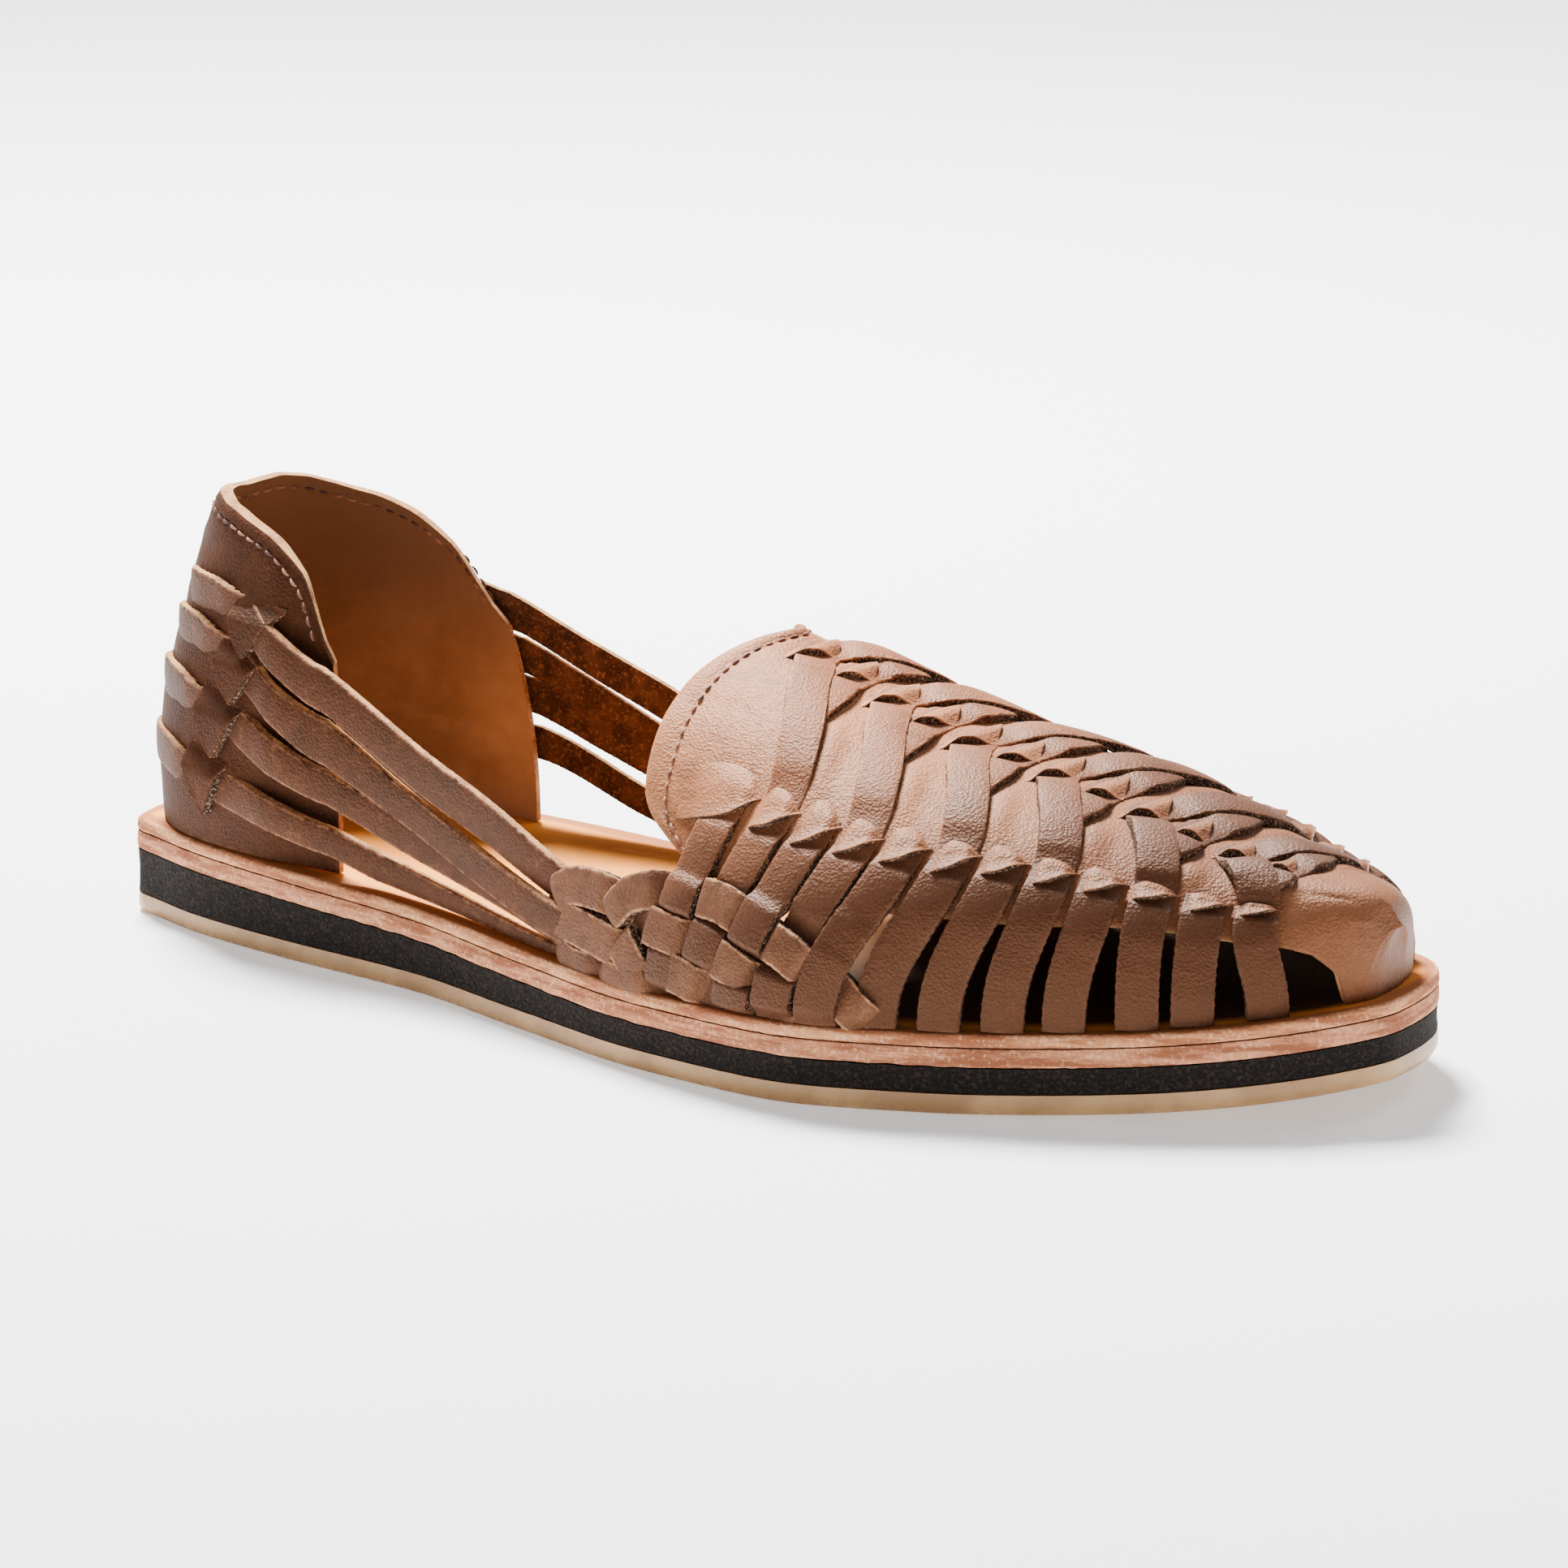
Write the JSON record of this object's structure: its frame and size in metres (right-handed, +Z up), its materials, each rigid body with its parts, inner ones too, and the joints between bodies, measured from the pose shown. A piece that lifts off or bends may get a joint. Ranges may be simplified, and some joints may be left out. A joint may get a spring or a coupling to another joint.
{
  "type": "huarache sandal",
  "caption": "Woven leather huarache sandal with a closed toe, strapped heel counter, open sides and a layered flat sole",
  "frame": {"origin": "on the floor, under the middle of the bounding box", "axes": "+X points to the toe, +Y to the inner side of the foot, +Z up"},
  "size_m": [0.3, 0.1154, 0.0921],
  "materials": {
    "outsole": "smooth honey-coloured gum rubber",
    "foam_midsole": "matt black-brown foam with a fine speckle",
    "leather_midsole": "natural leather with a brown stained, slightly fibrous edge",
    "insole": "smooth natural tan leather",
    "vamp": "rubbed pinkish brown leather with a low sheen and dark cut edges",
    "heel_counter": "brown leather with a smooth tan lining",
    "lateral_side_straps": "brown leather with pale cut edges",
    "medial_side_straps": "soft flesh side of brown leather"
  },
  "bodies": {
    "root": {"outsole": "outsole", "foam_midsole": "foam_midsole", "leather_midsole": "leather_midsole", "insole": "insole", "vamp": "vamp", "heel_counter": "heel_counter", "lateral_side_straps": "lateral_side_straps", "medial_side_straps": "medial_side_straps"}
  },
  "joints": []
}
